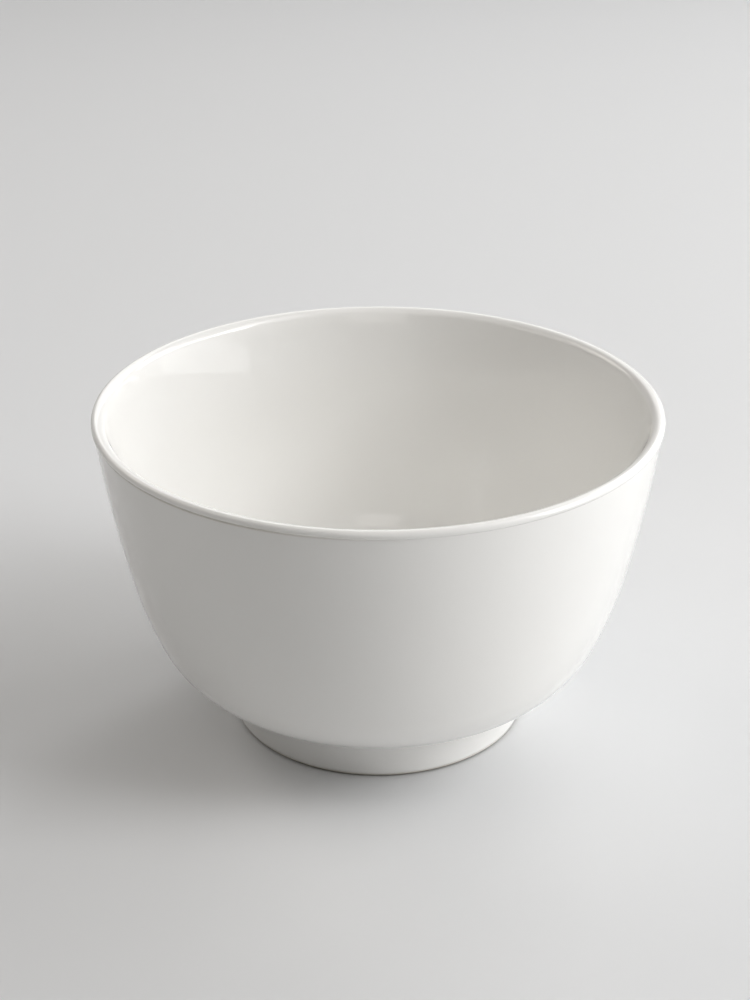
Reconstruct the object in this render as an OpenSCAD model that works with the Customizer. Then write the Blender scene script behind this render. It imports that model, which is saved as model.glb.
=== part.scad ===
// Latte bowl: a footed, glazed bowl without a handle. Millimetres, +Z up.
// The origin is the middle of the foot, on the table.
// The clay and the glaze coats are separate solids that lie face to face.

/* [Bowl] */
// Diameter over the rolled lip
rim_d = 135; // [120:1:160]
// Height from the table to the top of the lip
bowl_h = 81; // [74:0.5:92]
// Thickness of the floor, glaze included
floor_t = 5; // [3.5:0.1:7]

/* [Lip] */
// Radius of the outer half of the lip's round section
lip_r = 1; // [0.8:0.05:1.4]
// Radius of its inner half, which turns down into the bowl
inner_lip_r = 2.5; // [1.8:0.1:3.2]
// How far the lip stands out past the wall under it
lip_step = 0.45; // [0.35:0.05:0.6]
// How far the round section turns in under its widest point, in degrees
lip_wrap = 48; // [40:1:54]

/* [Outside] */
// Radius of the long curve of the wall
wall_bow = 320; // [280:5:400]
// Lean of the wall from upright where it runs into the belly
wall_lean = 13.5; // [11:0.5:15]
// Radius of the belly
belly_r = 100; // [80:1:120]
// Lean of the belly where it runs into the shoulder
belly_lean = 23; // [20:0.5:27]
// Radius of the shoulder that turns in under the bowl
shoulder_r = 26; // [22:0.5:32]

/* [Inside] */
// Lean of the inside from upright where it leaves the lip
inner_lip_lean = 21; // [18:0.5:24]
// Radius of the flare by which the inside steepens under the lip
inner_flare_r = 125; // [100:5:150]
// Radius of the long curve of the inside wall
inner_wall_bow = 320; // [280:5:400]
// Lean of the inside wall where it runs into the inside belly
inner_wall_lean = 13; // [12:0.5:15]
// Radius of the inside belly
inner_belly_r = 100; // [80:1:120]
// Lean of the inside belly where it turns to the floor
inner_belly_lean = 22; // [19:0.5:26]
// Radius of the turn from the inside belly to the floor
inner_shoulder_r = 22; // [18:0.5:26]

/* [Foot] */
// Diameter of the foot where it meets the bowl
foot_d = 73; // [64:0.5:80]
// Height from the table to the flat underside of the bowl
foot_h = 9.8; // [7:0.1:13]
// Width of the foot ring where it meets the bowl
foot_w = 5.5; // [4.5:0.1:7]
// Lean of the outside of the ring, inwards to the table
foot_draft = 1.5; // [0:0.5:4]
// Lean of the inside of the ring, opening to the table
well_draft = 4; // [0:0.5:6]
// Rounding of the two standing edges
foot_edge_r = 0.7; // [0.4:0.05:1.2]
// Rounding of the corners between the ring and the bowl
cove_r = 1.2; // [0.8:0.1:2]

/* [Glaze] */
// Thickness of every glaze coat
glaze_t = 0.35; // [0.2:0.05:0.5]
// Bare clay between the rounded standing edge and the glaze
bare_strip = 0.2; // [0.1:0.05:0.8]

/* [Hidden] */

clay = [0.83, 0.80, 0.74];
glaze = [0.94, 0.93, 0.90];
// Length of a facet on an arc, and the fewest and most facets of a full circle
facet = 0.5;
fewest_facets = 48;
most_facets = 720;
turn_facets = 180;

// Corners are kept to this share of a millimetre. The centre of an arc is placed from
// the nearest kept point with all its digits, so that the arc ends on its corners.
corner_share = 0.001;
function kept(size) =
    is_num(size) ? round(size / corner_share) * corner_share : [for (part = size) kept(part)];

// A corner is [distance from the axis, height, bend]. Its bend is the radius of the
// arc to the next corner: above zero where that arc swells out, below zero where it
// hollows in, and zero for a straight side. Corners run anticlockwise.
function at(point, bend = 0) = [point.x, point.y, bend];
// The same run of corners the other way round
function back(run) = [
    for (i = [len(run) - 1:-1:0]) [run[i].x, run[i].y, i > 0 ? -run[i - 1].z : 0]
];
// The way that a surface faces, away from the axis, when it leans by this angle
function facing(lean) = [cos(lean), -sin(lean)];
// How far an arc climbs between two leans
function climb(radius, from_lean, to_lean) = radius * (sin(from_lean) - sin(to_lean));

// Centres of the two halves of the lip, and the top of the wall under it
lip_at = [rim_d / 2 - lip_r, bowl_h - lip_r];
inner_lip_at = [lip_at.x, bowl_h - inner_lip_r];
wall_top = [rim_d / 2 - lip_step, lip_at.y - lip_r * sin(lip_wrap)];

// Centres of the outside arcs. Heights are counted up from the underside, and
// distances from the lip inwards. Each arc is tangent to the next.
shoulder_top_h = foot_h + climb(shoulder_r, 90, belly_lean);
belly_top_h = shoulder_top_h + climb(belly_r, belly_lean, wall_lean);
top_lean = asin(sin(wall_lean) - (wall_top.y - belly_top_h) / wall_bow);
wall_at = wall_top - wall_bow * facing(top_lean);
belly_at = wall_at + (wall_bow - belly_r) * facing(wall_lean);
shoulder_at = belly_at + (belly_r - shoulder_r) * facing(belly_lean);

// Centres of the inside arcs, found the same way. The flare swells into the bowl, from
// the lip down to the neck, where the hollow curve of the inside wall takes over.
floor_h = foot_h + floor_t;
inner_shoulder_top_h = floor_h + climb(inner_shoulder_r, 90, inner_belly_lean);
inner_belly_top_h = inner_shoulder_top_h + climb(inner_belly_r, inner_belly_lean, inner_wall_lean);
inner_wall_at_h = inner_belly_top_h + inner_wall_bow * sin(inner_wall_lean);
inner_flare_at = inner_lip_at + (inner_flare_r - inner_lip_r) * facing(inner_lip_lean);
neck_lean = asin((inner_wall_at_h - inner_flare_at.y) / (inner_wall_bow + inner_flare_r));
inner_wall_at = inner_flare_at - (inner_wall_bow + inner_flare_r) * facing(neck_lean);
inner_belly_at = inner_wall_at + (inner_wall_bow - inner_belly_r) * facing(inner_wall_lean);
inner_shoulder_at = inner_belly_at + (inner_belly_r - inner_shoulder_r) * facing(inner_belly_lean);

// The foot ring. set_in is how far a surface lies under the glaze: zero for the
// glazed surface itself, glaze_t for the clay.
ring_faces_out = facing(foot_draft);
ring_faces_in = [-cos(well_draft), -sin(well_draft)];
function ring_outside(height, set_in) =
    [foot_d / 2 - (foot_h - height) * tan(foot_draft) - set_in / cos(foot_draft), height];
function ring_inside(height, set_in) =
    [foot_d / 2 - foot_w + (foot_h - height) * tan(well_draft) + set_in / cos(well_draft), height];
glaze_line = foot_edge_r + bare_strip;

// Centre of a cove that touches the underside and a side of the ring: the side
// passes through this point and faces this way.
function cove_centre(point, face) =
    let(
        up = [-face.y, face.x] * sign(face.x),
        start = point + cove_r * face,
        on_flat = start + up * (foot_h - cove_r - start.y) / up.y,
        reach = (start - shoulder_at) * face
    )
    on_flat.x < shoulder_at.x ? on_flat
        : shoulder_at + reach * face - sqrt(pow(shoulder_r + cove_r, 2) - pow(reach, 2)) * up;
cove_out = cove_centre(ring_outside(foot_h, 0), ring_faces_out);
cove_in = cove_centre(ring_inside(foot_h, 0), ring_faces_in);
// Where a cove touches the underside
function cove_top(centre, set_in) =
    let(above = [min(centre.x, shoulder_at.x), shoulder_at.y])
    centre + (cove_r + set_in) * (above - centre) / norm(above - centre);

// Runs of corners over each surface of the bowl
function shoulder_start(set_in) = at([shoulder_at.x, foot_h + set_in], shoulder_r - set_in);
function wall_run(set_in) =
    let(step_h = lip_at.y - (lip_r - set_in) * sin(lip_wrap))
    [
        at(shoulder_at + (shoulder_r - set_in) * facing(belly_lean), belly_r - set_in),
        at(belly_at + (belly_r - set_in) * facing(wall_lean), wall_bow - set_in),
        at([wall_at.x + sqrt(pow(wall_bow - set_in, 2) - pow(step_h - wall_at.y, 2)), step_h]),
        at(lip_at + (lip_r - set_in) * facing(lip_wrap), lip_r - set_in)
    ];
function lip_top(set_in) = lip_at + [0, lip_r - set_in];
function inner_run(set_in) = [
    at(lip_top(set_in), inner_lip_r - set_in),
    at(inner_lip_at - (inner_lip_r - set_in) * facing(inner_lip_lean), inner_flare_r - set_in),
    at(inner_wall_at + (inner_wall_bow + set_in) * facing(neck_lean), -inner_wall_bow - set_in),
    at(inner_wall_at + (inner_wall_bow + set_in) * facing(inner_wall_lean), -inner_belly_r - set_in),
    at(inner_belly_at + (inner_belly_r + set_in) * facing(inner_belly_lean), -inner_shoulder_r - set_in),
    at([inner_shoulder_at.x, floor_h - set_in]),
    at([0, floor_h - set_in])
];
function outer_run(set_in) =
    let(touch = cove_top(cove_out, set_in), on_flat = touch.x < shoulder_at.x)
    [
        at(ring_outside(glaze_line + glaze_t, set_in)),
        at(cove_out - (cove_r + set_in) * ring_faces_out, -cove_r - set_in),
        at(touch, on_flat ? 0 : shoulder_r - set_in),
        if (on_flat) shoulder_start(set_in),
        each wall_run(set_in),
        at(lip_top(set_in))
    ];
function well_run(set_in) =
    let(touch = cove_top(cove_in, set_in))
    [
        at([0, foot_h + set_in]),
        if (touch.x > shoulder_at.x) shoulder_start(set_in),
        at(touch, -cove_r - set_in),
        at(cove_in - (cove_r + set_in) * ring_faces_in),
        at(ring_inside(glaze_line + glaze_t, set_in), glaze_t - set_in)
    ];
function ring_run(set_in) =
    let(
        out_edge = ring_outside(foot_edge_r, set_in) - [foot_edge_r / cos(foot_draft), 0],
        in_edge = ring_inside(foot_edge_r, set_in) + [foot_edge_r / cos(well_draft), 0],
        out_touch = cove_top(cove_out, set_in),
        in_touch = cove_top(cove_in, set_in)
    )
    [
        at([in_edge.x, 0]),
        at([out_edge.x, 0], foot_edge_r),
        at(out_edge + foot_edge_r * ring_faces_out),
        at(cove_out - (cove_r + set_in) * ring_faces_out, -cove_r - set_in),
        at(out_touch, out_touch.x > shoulder_at.x ? set_in - shoulder_r : 0),
        if (out_touch.x > shoulder_at.x && in_touch.x < shoulder_at.x) at([shoulder_at.x, foot_h + set_in]),
        at(in_touch, -cove_r - set_in),
        at(cove_in - (cove_r + set_in) * ring_faces_in),
        at(in_edge + foot_edge_r * ring_faces_in, foot_edge_r)
    ];

// The slice of a circle between an arc and its chord, on the right of the way there.
// It runs a little way over the chord, to join what it is added to or cut through it.
overrun = 0.05;
module arc_slice(from, to, radius) {
    way = (to - from) / norm(to - from);
    right = [way.y, -way.x];
    rise = sqrt(pow(radius, 2) - pow(norm(to - from) / 2, 2));
    centre = (from + to) / 2 - rise * right;
    intersection() {
        translate(kept(centre))
            translate(centre - kept(centre))
                circle(r = radius, $fn = min(most_facets, max(fewest_facets, round(2 * PI * radius / facet))));
        polygon([
            from,
            (from + to) / 2 - overrun * right,
            to,
            to + radius * (right + way),
            from + radius * (right - way)
        ]);
    }
}

// A closed outline through the corners of a run
module outline(run) {
    points = [for (corner = run) kept([corner.x, corner.y])];
    bends = [for (corner = run) kept(corner.z)];
    function after(i) = points[(i + 1) % len(points)];
    difference() {
        union() {
            polygon(points);
            for (i = [0:len(run) - 1]) if (bends[i] > 0) arc_slice(points[i], after(i), bends[i]);
        }
        for (i = [0:len(run) - 1]) if (bends[i] < 0) arc_slice(after(i), points[i], -bends[i]);
    }
}

module turned(run) {
    rotate_extrude($fn = turn_facets) outline(run);
}

module bowl_body() {
    color(clay) turned([
        at([0, foot_h + glaze_t]),
        shoulder_start(glaze_t),
        each wall_run(glaze_t),
        each inner_run(glaze_t)
    ]);
}

module foot_ring() {
    color(clay) turned(ring_run(glaze_t));
}

module inner_glaze() {
    color(glaze) turned([each inner_run(0), each back(inner_run(glaze_t))]);
}

module outer_glaze() {
    color(glaze) turned([
        at(ring_outside(glaze_line, glaze_t), glaze_t),
        each outer_run(0),
        each back(outer_run(glaze_t))
    ]);
}

module well_glaze() {
    color(glaze) turned([
        each well_run(0),
        at(ring_inside(glaze_line, glaze_t)),
        each back(well_run(glaze_t))
    ]);
}

bowl_body();
foot_ring();
inner_glaze();
outer_glaze();
well_glaze();
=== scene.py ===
import math
import bpy
import bmesh
from mathutils import Matrix, Vector, noise


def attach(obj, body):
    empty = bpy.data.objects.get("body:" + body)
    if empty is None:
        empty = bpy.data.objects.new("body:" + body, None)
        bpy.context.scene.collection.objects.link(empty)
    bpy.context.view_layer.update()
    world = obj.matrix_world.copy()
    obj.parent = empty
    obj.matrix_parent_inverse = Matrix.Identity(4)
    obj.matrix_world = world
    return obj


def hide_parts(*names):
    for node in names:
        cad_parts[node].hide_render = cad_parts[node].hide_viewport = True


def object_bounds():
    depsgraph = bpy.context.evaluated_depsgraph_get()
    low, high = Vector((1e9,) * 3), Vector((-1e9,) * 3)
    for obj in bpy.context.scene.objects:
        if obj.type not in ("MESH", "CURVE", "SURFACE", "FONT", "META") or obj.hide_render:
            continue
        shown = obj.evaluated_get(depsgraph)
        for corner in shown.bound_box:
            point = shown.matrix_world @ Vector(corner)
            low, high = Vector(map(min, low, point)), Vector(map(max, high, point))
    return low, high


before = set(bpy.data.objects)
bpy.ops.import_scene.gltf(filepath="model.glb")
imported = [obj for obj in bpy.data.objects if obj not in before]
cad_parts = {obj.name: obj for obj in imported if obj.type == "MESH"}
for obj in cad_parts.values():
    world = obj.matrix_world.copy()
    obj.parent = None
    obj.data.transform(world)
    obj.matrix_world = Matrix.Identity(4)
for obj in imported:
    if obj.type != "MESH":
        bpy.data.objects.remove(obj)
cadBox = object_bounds()
print("frame loaded, nodes:", ", ".join(sorted(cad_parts)))

mm = 0.001
deg = math.radians

# The sizes of the bowl, as it is built. Its width and height come from the frame. A bow is
# the radius of a stretch of the outline, and a lean is how far the stretch is from upright
# at its lower end.
bowl = dict(
    rimRadius=cadBox[1].x,
    height=cadBox[1].z,
    floor=5 * mm,
    glaze=0.35 * mm,
    lipBow=1 * mm,  # of the outer half of the lip
    lipStep=0.45 * mm,  # how far the lip stands out from the wall
    lipEase=0.3 * mm,  # how softly the wall turns in under it
    lipWrap=deg(48),  # how far the round lip turns in under its widest point
)
outside = dict(
    wallBow=320 * mm,
    wallLean=deg(13.5),
    bellyBow=100 * mm,
    bellyLean=deg(23),
    shoulderBow=26 * mm,
)
inside = dict(
    lipBow=2.5 * mm,  # of the inner half of the lip
    lipLean=deg(21),
    flareBow=125 * mm,  # swells into the bowl, and what is below it is hollow
    wallBow=320 * mm,
    wallLean=deg(13),
    bellyBow=100 * mm,
    bellyLean=deg(22),
    shoulderBow=22 * mm,
)
foot = dict(
    radius=36.5 * mm,
    height=9.8 * mm,
    width=5.5 * mm,
    draft=deg(1.5),
    wellDraft=deg(4),
    edge=0.7 * mm,
    cove=1.2 * mm,
    glazeLine=0.9 * mm,
)
# The lower edge of a coat: it thins out over the clay in a quarter of an ellipse and isn't
# quite level. The more swings and ripples, the more often it rises and falls in a turn.
glazeEnd = dict(
    taper=0.9 * mm,
    waver=0.14 * mm,
    waverReach=1.8 * mm,  # how far up the waver dies out
    swings=3,
    ripples=11,
    rippleShare=0.5,
)

# How many steps the stretches of an outline have, and a turn round the axis. The side of a
# coat that lies on the clay never shows, and has fewer, but for the step under the lip.
steps = dict(
    footSide=8,
    glazeEnd=8,
    edge=10,
    cove=16,
    wellCove=12,
    shoulder=36,
    belly=16,
    wall=24,
    lipStep=10,
    lip=28,
    flare=20,
    innerShoulder=32,
    floor=16,
    underClay=4,
)
hiddenFewer = 4  # so many times fewer
coatTurns = 384
ringTurns = 768
onAxis = 0.001 * mm
sharpEdge = deg(50)

level = Vector((1, 0))
down = Vector((0, -1))
up = Vector((0, 1))
unseen = Vector((0, 0))


# Outlines lie in a plane through the axis, as (distance from the axis, height). Each
# point comes with the way that its surface faces, or with none where it is hidden.
# A lean is measured from upright: 0 faces straight out, 90 down and -90 up. An inset is the
# depth under the glazed surface.
def facing(lean):
    return Vector((math.cos(lean), -math.sin(lean)))


def upAlong(face):  # the way up on a surface that faces this way
    return Vector((-face.y, face.x))


def climb(bow, fromLean, toLean):  # the height from the lower to the upper end of an arc
    return bow * (math.sin(fromLean) - math.sin(toLean))


def arc(centre, radius, fromLean, toLean, count, hollow=False):  # a hollow one faces its centre
    leans = [fromLean + (toLean - fromLean) * i / count for i in range(count + 1)]
    return [(centre + radius * facing(a), -facing(a) if hollow else facing(a)) for a in leans]


def lipArc(centre, radius, toLean, count):  # from the crest, where the steps are the shortest
    crest = deg(-90)
    turns = [(toLean - crest) * (1 - math.cos(deg(90) * i / count)) for i in range(count + 1)]
    return [(centre + radius * facing(crest + turn), facing(crest + turn)) for turn in turns]


def line(start, end, face, count):
    return [(start.lerp(end, i / count), face) for i in range(count + 1)]


# An S-curve from one surface to another, by the weights of a cubic curve and their slopes
def easedStep(start, startWay, end, endWay, reach, count):
    points = [start, start + reach * startWay, end - reach * endWay, end]
    run = []
    for i in range(count + 1):
        t = i / count
        weights = [(1 - t) ** 3, 3 * t * (1 - t) ** 2, 3 * t * t * (1 - t), t ** 3]
        slopes = [-(1 - t) ** 2, (1 - t) * (1 - 3 * t), t * (2 - 3 * t), t * t]
        place = sum((w * p for w, p in zip(weights, points)), Vector((0, 0)))
        way = sum((s * p for s, p in zip(slopes, points)), Vector((0, 0))).normalized()
        run.append((place, Vector((way.y, -way.x))))
    return run


def hidden(run):
    return [(place, unseen) for place, face in run]


# The centres of the shoulder, the belly and the wall, which run into one another from a flat
# underside or floor, and the lean of the wall at its top. The wall ends at a point, or,
# where there is a reach, at an arc of that radius round the point.
def curveCentres(shape, flatHeight, through, reach):
    shoulderTop = flatHeight + climb(shape["shoulderBow"], deg(90), shape["bellyLean"])
    bellyTop = shoulderTop + climb(shape["bellyBow"], shape["bellyLean"], shape["wallLean"])
    wallHeight = bellyTop + shape["wallBow"] * math.sin(shape["wallLean"])
    topLean = math.asin((wallHeight - through.y) / (shape["wallBow"] + reach))
    wall = through - (shape["wallBow"] + reach) * facing(topLean)
    belly = wall + (shape["wallBow"] - shape["bellyBow"]) * facing(shape["wallLean"])
    shoulder = belly + (shape["bellyBow"] - shape["shoulderBow"]) * facing(shape["bellyLean"])
    return wall, belly, shoulder, topLean


lipAt = Vector((bowl["rimRadius"] - bowl["lipBow"], bowl["height"] - bowl["lipBow"]))
lipFall = bowl["lipBow"] * math.sin(bowl["lipWrap"])
wallTop = Vector((bowl["rimRadius"] - bowl["lipStep"], lipAt.y - lipFall))
wallAt, bellyAt, shoulderAt, topLean = curveCentres(outside, foot["height"], wallTop, 0)
innerLipAt = Vector((lipAt.x, bowl["height"] - inside["lipBow"]))
flareAt = innerLipAt + (inside["flareBow"] - inside["lipBow"]) * facing(inside["lipLean"])
floorHeight = foot["height"] + bowl["floor"]
innerCentres = curveCentres(inside, floorHeight, flareAt, inside["flareBow"])
innerWallAt, innerBellyAt, innerShoulderAt, neckLean = innerCentres


# The two sides of the foot at a height, let in by the inset
def footOutside(height, inset):
    drop = (foot["height"] - height) * math.tan(foot["draft"]) + inset / math.cos(foot["draft"])
    return Vector((foot["radius"] - drop, height))


def footInside(height, inset):
    rise = (foot["height"] - height) * math.tan(foot["wellDraft"])
    return Vector((foot["radius"] - foot["width"] + rise + inset / math.cos(foot["wellDraft"]), height))


outward = facing(foot["draft"])
inward = facing(deg(180) - foot["wellDraft"])
# The outer cove touches the outer side of the foot and the shoulder, and the inner one the
# inner side and the flat underside
sideReach = (footOutside(foot["height"], -foot["cove"]) - shoulderAt).dot(outward)
coveFall = math.sqrt((outside["shoulderBow"] + foot["cove"]) ** 2 - sideReach ** 2)
coveOut = shoulderAt + sideReach * outward - coveFall * upAlong(outward)
coveIn = footInside(foot["height"] - foot["cove"], -foot["cove"])
# The lean of the shoulder where the outer cove meets it
coveLean = math.atan2(shoulderAt.y - coveOut.y, coveOut.x - shoulderAt.x)


def outerCove(inset, count):
    fromLean, toLean = deg(180) + foot["draft"], deg(180) + coveLean
    return arc(coveOut, foot["cove"] + inset, fromLean, toLean, count, hollow=True)


def innerCove(inset, count):
    return arc(coveIn, foot["cove"] + inset, deg(-90), -foot["wellDraft"], count, hollow=True)


def outerRun(inset, fewer=1):  # from the side of the foot to the crest of the lip
    count = {stretch: number // fewer for stretch, number in steps.items()}
    lean = outside["bellyLean"], outside["wallLean"]
    sideStart = footOutside(foot["glazeLine"] + glazeEnd["taper"], inset)
    sideEnd = coveOut - (foot["cove"] + inset) * outward
    run = line(sideStart, sideEnd, outward, count["footSide"])
    run += outerCove(inset, count["cove"])[1:]
    run += arc(shoulderAt, outside["shoulderBow"] - inset, coveLean, lean[0], count["shoulder"])[1:]
    run += arc(bellyAt, outside["bellyBow"] - inset, *lean, count["belly"])[1:]
    # The wall stops a little below its top, and a short step turns in under the round lip
    wallEnd = topLean + bowl["lipEase"] / outside["wallBow"]
    run += arc(wallAt, outside["wallBow"] - inset, lean[1], wallEnd, count["wall"])[1:]
    start, startFace = run[-1]
    bead = bowl["lipBow"] - inset
    endFace = facing(bowl["lipWrap"])
    end = lipAt + bead * endFace
    ways = upAlong(startFace), upAlong(endFace)
    run += easedStep(start, ways[0], end, ways[1], bowl["lipEase"], steps["lipStep"])[1:]
    run += list(reversed(lipArc(lipAt, bead, bowl["lipWrap"], count["lip"])))[1:]
    return run


def innerRun(inset, fewer=1):  # from the crest of the lip to the middle of the floor
    count = {stretch: number // fewer for stretch, number in steps.items()}
    bow = {stretch: inside[stretch + "Bow"] + inset for stretch in ("wall", "belly", "shoulder")}
    lipEnd = inside["lipLean"] - deg(180)
    neck = neckLean - deg(180)
    wallLean, bellyLean = inside["wallLean"], inside["bellyLean"]
    run = lipArc(innerLipAt, inside["lipBow"] - inset, lipEnd, count["lip"])
    run += arc(flareAt, inside["flareBow"] - inset, lipEnd, neck, count["flare"])[1:]
    run += arc(innerWallAt, bow["wall"], neckLean, wallLean, count["wall"], True)[1:]
    run += arc(innerBellyAt, bow["belly"], wallLean, bellyLean, count["belly"], True)[1:]
    run += arc(innerShoulderAt, bow["shoulder"], bellyLean, deg(90), count["innerShoulder"], True)[1:]
    floorEdge = Vector((innerShoulderAt.x, floorHeight - inset))
    run += line(floorEdge, Vector((0, floorEdge.y)), up, count["floor"])[1:]
    return run


def wellRun(inset, fewer=1):  # from the middle of the underside to the inner side of the foot
    ceiling = foot["height"] + inset
    run = line(Vector((0, ceiling)), Vector((coveIn.x, ceiling)), down, steps["floor"] // fewer)
    run += innerCove(inset, steps["wellCove"] // fewer)[1:]
    sideEnd = footInside(foot["glazeLine"] + glazeEnd["taper"], inset)
    run += line(run[-1][0], sideEnd, inward, steps["footSide"] // fewer)[1:]
    return run


def taperedEnd(footSide, face):
    run = []
    for i in range(steps["glazeEnd"]):
        lean = deg(90) * i / steps["glazeEnd"]
        rise = glazeEnd["taper"] * (1 - math.cos(lean))
        inset = bowl["glaze"] * (1 - math.sin(lean))
        way = (face * math.sin(lean) + down * math.cos(lean)).normalized()
        run.append((footSide(foot["glazeLine"] + rise, inset), way))
    return run


# A turned piece: the outline goes round the axis. Each point that shows is let in a little by
# the unevenness, never out, and a waver lifts or lowers the points near an edge.
def turned(name, outline, turns, unevenness, waver=None):
    mesh = bpy.data.meshes.new(name)
    build = bmesh.new()
    rings = []
    for place, face in outline:
        ring = []
        for i in range(turns if place.x > onAxis else 1):  # on the axis a ring is one point
            turn = 2 * math.pi * i / turns
            across = Vector((math.cos(turn), math.sin(turn), 0))
            spot = across * place.x + Vector((0, 0, place.y))
            if face.length:
                out = across * face.x + Vector((0, 0, face.y))
                spot -= out * unevenness(spot)
            if waver:
                spot.z += waver(spot, across)
            ring.append(build.verts.new(spot))
        rings.append(ring)
    for lower, upper in zip(rings, rings[1:] + rings[:1]):
        for i in range(turns):
            corners = [lower[i % len(lower)], lower[(i + 1) % turns % len(lower)]]
            corners += [upper[(i + 1) % turns % len(upper)], upper[i % len(upper)]]
            corners = list(dict.fromkeys(corners))
            if len(corners) > 2:
                build.faces.new(corners)
    bmesh.ops.recalc_face_normals(build, faces=build.faces)
    for face in build.faces:
        face.smooth = True
    for edge in build.edges:
        if len(edge.link_faces) == 2 and edge.calc_face_angle() > sharpEdge:
            edge.smooth = False
    build.to_mesh(mesh)
    build.free()
    piece = bpy.data.objects.new(name, mesh)
    bpy.context.scene.collection.objects.link(piece)
    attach(piece, "root")
    print(name, "turned:", len(outline), "rings,", len(mesh.polygons), "faces")
    return piece


# Unevenness of the two surfaces, as a depth below the outline
glazeFlow = dict(depth=0.014 * mm, width=16 * mm)
clayGrain = dict(depth=0.02 * mm, width=0.9 * mm, above=1 * mm)


def flowDepth(spot):
    return glazeFlow["depth"] * (1 + noise.noise(spot / glazeFlow["width"]))


def grainDepth(spot):  # the standing face stays flat
    if spot.z <= clayGrain["above"]:
        return 0
    return clayGrain["depth"] * (1 + noise.noise(spot / clayGrain["width"]))


def endWaver(spot, across):
    nearEnd = max(0, 1 - (spot.z - foot["glazeLine"]) / glazeEnd["waverReach"])
    ripple = glazeEnd["rippleShare"] * noise.noise(across * glazeEnd["ripples"])
    return glazeEnd["waver"] * nearEnd * (noise.noise(across * glazeEnd["swings"]) + ripple)


# Shader maths: a wire comes out of a node, and a sum on wires adds Math nodes
class Wire:
    def __init__(self, finish, socket):
        self.finish, self.socket = finish, socket

    def __add__(self, other):
        return self.finish.reckon("ADD", self, other)

    def __radd__(self, other):
        return self.finish.reckon("ADD", other, self)

    def __sub__(self, other):
        return self.finish.reckon("SUBTRACT", self, other)

    def __rsub__(self, other):
        return self.finish.reckon("SUBTRACT", other, self)

    def __mul__(self, other):
        return self.finish.reckon("MULTIPLY", self, other)

    def __rmul__(self, other):
        return self.finish.reckon("MULTIPLY", other, self)

    def __pow__(self, other):
        return self.finish.reckon("POWER", self, other)

    def __rpow__(self, other):
        return self.finish.reckon("POWER", other, self)


class Finish:  # the nodes of a material, or of the room
    def __init__(self, owner):
        self.owner = owner
        self.owner.use_nodes = True
        self.tree = self.owner.node_tree
        self.tree.nodes.clear()

    def node(self, kind, settings=None, sockets=None, output=0):
        made = self.tree.nodes.new(kind)
        for key, value in (settings or {}).items():
            setattr(made, key, value)
        for key, value in (sockets or {}).items():
            if isinstance(value, Wire):
                self.tree.links.new(value.socket, made.inputs[key])
            else:
                made.inputs[key].default_value = value
        return Wire(self, made.outputs[output]) if made.outputs else None

    def reckon(self, operation, *values):
        return self.node("ShaderNodeMath", dict(operation=operation), dict(enumerate(values)))

    def mixed(self, share, low, high):  # colours, on the sockets 6 and 7 and the output 2
        settings = dict(data_type="RGBA")
        return self.node("ShaderNodeMix", settings, {"Factor": share, 6: low, 7: high}, 2)

    def noise(self, width, detail, roughness=0.5):
        place = self.node("ShaderNodeTexCoord", output="Object")
        sockets = dict(Vector=place, Scale=1 / width, Detail=detail, Roughness=roughness)
        return self.node("ShaderNodeTexNoise", dict(noise_dimensions="3D"), sockets)

    def along(self, axis):  # the place along one axis of the frame
        place = self.node("ShaderNodeTexCoord", output="Object")
        return self.node("ShaderNodeSeparateXYZ", None, {0: place}, axis)

    def eased(self, value, zeroAt, oneAt):
        reach = {"Value": value, "From Min": zeroAt, "From Max": oneAt}
        return self.node("ShaderNodeMapRange", dict(interpolation_type="SMOOTHSTEP"), reach)

    def bump(self, height, distance):
        return self.node("ShaderNodeBump", None, dict(Height=height, Strength=1, Distance=distance))

    def seen(self):  # by the camera, straight, in a mirror or through glass
        rays = ["Is Camera Ray", "Is Glossy Ray", "Is Transmission Ray"]
        straight, mirrored, through = [self.node("ShaderNodeLightPath", output=ray) for ray in rays]
        return self.reckon("MINIMUM", straight + mirrored + through, 1)

    def surface(self, sockets):
        return self.node("ShaderNodeBsdfPrincipled", None, sockets)

    def output(self, surface, kind="ShaderNodeOutputMaterial"):
        self.node(kind, None, dict(Surface=surface))
        return self.owner


noiseMiddle = 0.5  # of a noise, which goes from 0 to 1

# White glaze: glossy, slightly warm, and a touch creamier in broad soft clouds
glazeLook = dict(
    white=(0.866, 0.862, 0.844, 1),
    cloud=(0.858, 0.85, 0.827, 1),
    cloudWidth=45 * mm,
    cloudDetail=3,
    rough=0.07,
    roughSpread=0.03,
    hazeWidth=9 * mm,  # of the spots that are a little rougher or smoother
    hazeDetail=4,
    peelWidth=1.6 * mm,
    peelHeight=0.0015 * mm,
    peelDetail=1,
    index=1.52,
)
# Painted shade under the outside of the lip: the glaze is painted darker and a little brown in a narrow
# band, most of all on the left, where the shade falls
underLipShade = dict(
    colour=(0.53, 0.49, 0.43, 1),
    middle=lipAt.y - lipFall,
    halfWidth=0.6 * mm,
    leftEnd=-36 * mm,
    rightEnd=12 * mm,
)


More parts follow.
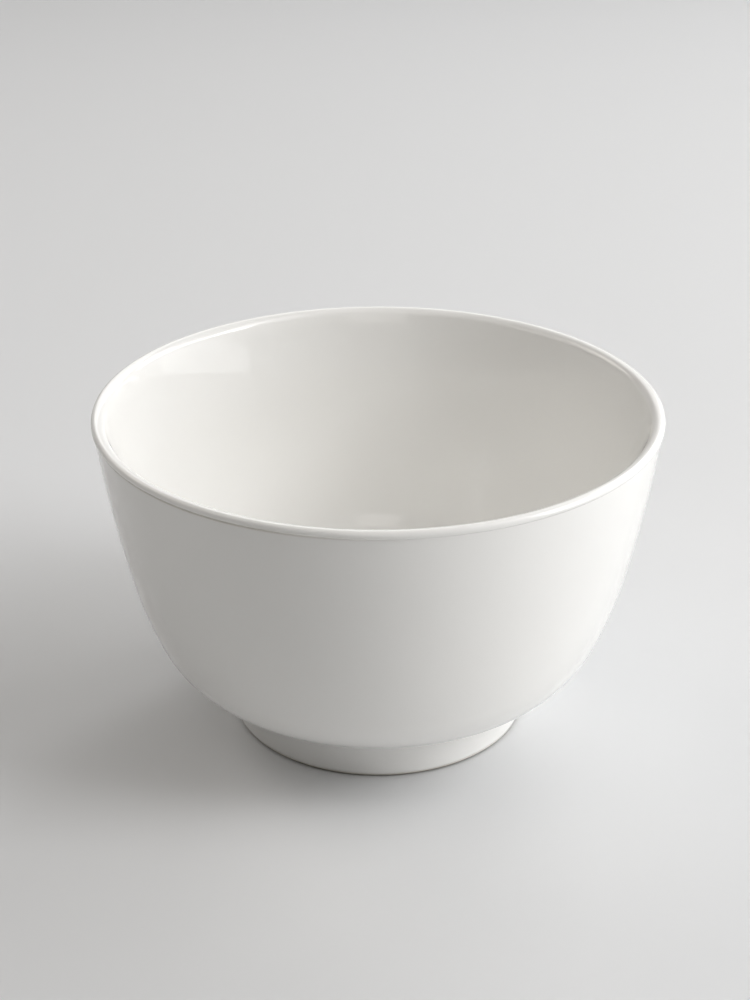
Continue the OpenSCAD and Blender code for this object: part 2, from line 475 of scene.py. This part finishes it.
def makeGlaze(name, shadeUnderLip):
    finish = Finish(bpy.data.materials.new(name))
    clouds = finish.noise(glazeLook["cloudWidth"], glazeLook["cloudDetail"])
    haze = finish.noise(glazeLook["hazeWidth"], glazeLook["hazeDetail"])
    colour = finish.mixed(clouds, glazeLook["white"], glazeLook["cloud"])
    if shadeUnderLip:
        # painted shade: darkens the glaze in a band under the lip, fading out towards the right
        low, middle = underLipShade["middle"] - underLipShade["halfWidth"], underLipShade["middle"]
        rising = finish.eased(finish.along("Z"), low, middle)
        falling = finish.eased(finish.along("Z"), middle + underLipShade["halfWidth"], middle)
        onLeft = finish.eased(finish.along("X"), underLipShade["rightEnd"], underLipShade["leftEnd"])
        colour = finish.mixed(rising * falling * onLeft, colour, underLipShade["colour"])
    roughness = glazeLook["rough"] + glazeLook["roughSpread"] * (haze - noiseMiddle)
    peel = finish.noise(glazeLook["peelWidth"], glazeLook["peelDetail"])
    peel = finish.bump(peel, glazeLook["peelHeight"])
    sockets = {"Base Color": colour, "Roughness": roughness, "Normal": peel, "IOR": glazeLook["index"]}
    return finish.output(finish.surface(sockets))


# Bare fired clay: matte, finely grained, with a few darker specks, and a painted contact shadow, dark
# grey, where it meets the table
clayLook = dict(
    light=(0.76, 0.74, 0.69, 1),
    dark=(0.66, 0.63, 0.57, 1),
    contactShade=(0.22, 0.20, 0.17, 1),
    fullShadeBelow=0.35 * mm,
    noShadeAbove=0.8 * mm,
    grainWidth=0.35 * mm,
    grainHeight=0.03 * mm,
    grainDetail=4,
    grainRoughness=0.65,
    grainShare=0.6,
    speckWidth=1.1 * mm,
    speckDetail=2,
    speckShare=3,
    speckPower=6,  # the higher, the fewer specks
    rough=0.8,
    roughSpread=0.15,
)


def makeClay():
    finish = Finish(bpy.data.materials.new("bare_clay"))
    grain = finish.noise(clayLook["grainWidth"], clayLook["grainDetail"], clayLook["grainRoughness"])
    specks = finish.noise(clayLook["speckWidth"], clayLook["speckDetail"]) ** clayLook["speckPower"]
    darker = grain * clayLook["grainShare"] + specks * clayLook["speckShare"]
    fired = finish.mixed(darker, clayLook["light"], clayLook["dark"])
    # painted shade: the clay turns dark in the lowest part of the foot, where it meets the table
    footShade = finish.eased(finish.along("Z"), clayLook["noShadeAbove"], clayLook["fullShadeBelow"])
    colour = finish.mixed(footShade, fired, clayLook["contactShade"])
    roughness = clayLook["rough"] + clayLook["roughSpread"] * grain
    normal = finish.bump(grain, clayLook["grainHeight"])
    sockets = {"Base Color": colour, "Roughness": roughness, "Normal": normal}
    return finish.output(finish.surface(sockets))


whiteGlaze = makeGlaze("white_glaze", False)
# the outside glaze carries the painted shade under the lip
outerWhiteGlaze = makeGlaze("outer_white_glaze", True)
bareClay = makeClay()
print("materials made")


def makeCoat(name, shown, underside, node, look):
    piece = turned(name, shown + hidden(reversed(underside)), coatTurns, flowDepth, endWaver)
    piece.data.materials.append(look)
    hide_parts(node)


# The coat outside, from its edge on the foot to the crest of the lip, and back along the clay
outerShown = taperedEnd(footOutside, outward) + outerRun(0)
outerHidden = outerRun(bowl["glaze"], hiddenFewer)
makeCoat("outerGlaze", outerShown, outerHidden, "outer_glaze", outerWhiteGlaze)
# The coat inside, from the crest to the middle of the floor
innerHidden = innerRun(bowl["glaze"], hiddenFewer)
makeCoat("innerGlaze", innerRun(0), innerHidden, "inner_glaze", whiteGlaze)
# The coat in the hollow under the bowl
wellShown = wellRun(0) + list(reversed(taperedEnd(footInside, inward)))
wellHidden = wellRun(bowl["glaze"], hiddenFewer)
makeCoat("wellGlaze", wellShown, wellHidden, "well_glaze", whiteGlaze)


def makeFootRing():  # anticlockwise, from the inner side over the standing face to the outer side
    inset = bowl["glaze"]
    outEdge = footOutside(foot["edge"], inset) - level * foot["edge"] / math.cos(foot["draft"])
    inEdge = footInside(foot["edge"], inset) + level * foot["edge"] / math.cos(foot["wellDraft"])
    inLean, outLean = deg(180) - foot["wellDraft"], foot["draft"]
    run = list(reversed(arc(inEdge, foot["edge"], deg(90), inLean, steps["edge"])))
    run += line(Vector((inEdge.x, 0)), Vector((outEdge.x, 0)), down, steps["footSide"])[1:]
    run += arc(outEdge, foot["edge"], deg(90), outLean, steps["edge"])[1:]
    run += line(run[-1][0], coveOut - (foot["cove"] + inset) * outward, outward, steps["edge"])[1:]
    # The top lies on the bowl and under the coats, and never shows
    shoulder = arc(shoulderAt, outside["shoulderBow"] - inset, coveLean, deg(90), steps["underClay"])
    top = outerCove(inset, steps["underClay"])[1:] + shoulder[1:]
    run += hidden(top + innerCove(inset, steps["underClay"]))
    piece = turned("footRing", run, ringTurns, grainDepth)
    piece.data.materials.append(bareClay)
    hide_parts("foot_ring")


makeFootRing()
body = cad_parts["bowl_body"]  # stays, closed in between the coats
body.data.materials.clear()
body.data.materials.append(bareClay)
print("pieces made")

# The photograph's view, in the frame: the camera stands in front, over the table
view = dict(
    distance=0.4994,
    height=deg(31.657),
    tilt=deg(25.887),
    turn=deg(-0.1041),
    roll=deg(0.1298),
    lens=70.23,
    sensor=36,
    clip=(0.01, 50),
)


def makeCamera():
    toView = Vector((math.sin(view["turn"]), math.cos(view["turn"]), 0))
    ahead = math.cos(view["tilt"]) * toView - Vector((0, 0, math.sin(view["tilt"])))
    across = Vector((toView.y, -toView.x, 0))
    right = math.cos(view["roll"]) * across - math.sin(view["roll"]) * across.cross(ahead)
    top = right.cross(ahead)
    data = bpy.data.cameras.new("photoView")
    data.sensor_width, data.lens = view["sensor"], view["lens"]
    data.clip_start, data.clip_end = view["clip"]
    camera = bpy.data.objects.new("photoView", data)
    place = view["distance"] * Vector((0, -math.cos(view["height"]), math.sin(view["height"])))
    axes = Matrix((right, top, -ahead)).transposed().to_4x4()
    camera.matrix_world = Matrix.Translation(place) @ axes
    bpy.context.scene.collection.objects.link(camera)
    bpy.context.scene.camera = camera


makeCamera()

# Plain pale table, which fades into the backdrop from about where the photograph's view ends
table = dict(
    size=24,
    colour=(0.714, 0.72, 0.728, 1),
    rough=0.75,
    grainWidth=3 * mm,
    grainHeight=0.02 * mm,
    grainDetail=3,
    fadeFrom=0.85,
    fadeTo=1.15,
)
backdrop = (0.62, 0.62, 0.62, 1)


def makeTable():
    mesh = bpy.data.meshes.new("table")
    build = bmesh.new()
    bmesh.ops.create_grid(build, x_segments=1, y_segments=1, size=table["size"] / 2)
    build.to_mesh(mesh)
    build.free()
    piece = bpy.data.objects.new("table", mesh)
    bpy.context.scene.collection.objects.link(piece)
    finish = Finish(bpy.data.materials.new("table_paper"))
    grain = finish.noise(table["grainWidth"], table["grainDetail"])
    grain = finish.bump(grain, table["grainHeight"])
    sockets = {"Base Color": table["colour"], "Roughness": table["rough"], "Normal": grain}
    paper = finish.surface(sockets)
    far = finish.node("ShaderNodeEmission", None, dict(Color=backdrop))
    place = finish.node("ShaderNodeTexCoord", output="Object")
    distance = finish.node("ShaderNodeVectorMath", dict(operation="LENGTH"), {0: place}, "Value")
    fade = finish.eased(distance, table["fadeFrom"], table["fadeTo"])
    blend = {0: fade * finish.seen(), 1: paper, 2: far}
    mesh.materials.append(finish.output(finish.node("ShaderNodeMixShader", None, blend)))


makeTable()

# Soft light from a window on the right, from the pale walls and from the ceiling, in several
# fields. A glow is the brightness of a lamp's own face, where 1 is the render's white. The
# light from the front, from the left and from most of the ceiling is a little warmer. The
# two low sills stand further off, or they would leave a white pool on the table.
warm = (1, 0.955, 0.9)
# The way that a lamp on a wall turns, and where in the frame a place on the wall is
walls = dict(
    right=dict(turn=(90, 0, 90), place=lambda along, high: (1.0, along, high)),
    rightFar=dict(turn=(90, 0, 90), place=lambda along, high: (1.6, along, high)),
    left=dict(turn=(90, 0, -90), place=lambda along, high: (-1.0, along, high)),
    back=dict(turn=(90, 0, 180), place=lambda along, high: (along, 1.4, high)),
    front=dict(turn=(90, 0, 0), place=lambda along, high: (along, -1.4, high)),
    ceiling=dict(turn=(0, 0, 0), place=lambda across, along: (across, along, 1.5)),
)
# The middle of each lamp on its wall, its width and height, and its glow
lamps = dict(
    window=dict(wall="right", at=(-0.3, 0.75), size=(0.45, 0.5), glow=9.3),
    windowTop=dict(wall="right", at=(-0.3, 1.25), size=(0.45, 0.5), glow=3.8),
    windowLow=dict(wall="right", at=(-0.08, 0.24), size=(0.9, 0.2), glow=1.3),
    windowSill=dict(wall="rightFar", at=(-0.48, 0.08), size=(0.72, 0.16), glow=20.0),
    windowFront=dict(wall="right", at=(-0.75, 1.25), size=(0.45, 0.5), glow=1.35),
    windowMiddle=dict(wall="right", at=(0.15, 0.75), size=(0.45, 0.5), glow=3.9),
    windowBack=dict(wall="right", at=(0.6, 0.75), size=(0.45, 0.5), glow=4.4),
    cornerTop=dict(wall="right", at=(1.05, 1.25), size=(0.45, 0.5), glow=4.5),
    cornerSill=dict(wall="rightFar", at=(1.68, 0.08), size=(0.72, 0.16), glow=11.5),
    wallRight=dict(wall="back", at=(0.67, 0.95), size=(0.67, 0.7), glow=5.95),
    wallMiddle=dict(wall="back", at=(0, 0.95), size=(0.67, 0.7), glow=1.4),
    wallFront=dict(wall="front", at=(0, 0.95), size=(0.67, 0.7), glow=1.4, tint=warm),
    ceilingMiddle=dict(wall="ceiling", at=(-0.27, -0.3), size=(1.6, 0.6), glow=0.93, tint=warm),
    ceilingFront=dict(wall="ceiling", at=(-0.27, -0.9), size=(0.53, 0.6), glow=0.93, tint=warm),
    ceilingRight=dict(wall="ceiling", at=(0.8, -0.3), size=(0.53, 0.6), glow=2.7),
    leftMiddle=dict(wall="left", at=(0, 0.95), size=(0.8, 0.7), glow=1.35, tint=warm),
    leftBack=dict(wall="left", at=(0.8, 0.95), size=(0.8, 0.7), glow=2.9, tint=warm),
)


def makeLamps():
    for name, lamp in lamps.items():
        wide, high = lamp["size"]
        wall = walls[lamp["wall"]]
        data = bpy.data.lights.new(name, "AREA")
        data.shape, data.size, data.size_y = "RECTANGLE", wide, high
        data.energy = math.pi * wide * high * lamp["glow"]
        data.color = lamp.get("tint", (1, 1, 1))
        light = bpy.data.objects.new(name, data)
        light.location = wall["place"](*lamp["at"])
        light.rotation_euler = [deg(turn) for turn in wall["turn"]]
        light.visible_camera = False
        bpy.context.scene.collection.objects.link(light)


makeLamps()

# The room gives hardly any light of its own, but it is seen and mirrored in the backdrop's colour
room = dict(light=0.01)


def makeRoom():
    world = bpy.data.worlds.new("room")
    bpy.context.scene.world = world
    finish = Finish(world)
    strength = room["light"] + (1 - room["light"]) * finish.seen()
    glow = finish.node("ShaderNodeBackground", None, dict(Color=backdrop, Strength=strength))
    finish.output(glow, "ShaderNodeOutputWorld")


makeRoom()
bpy.context.scene.view_settings.view_transform = "Standard"
print("stage, lamps and camera made")
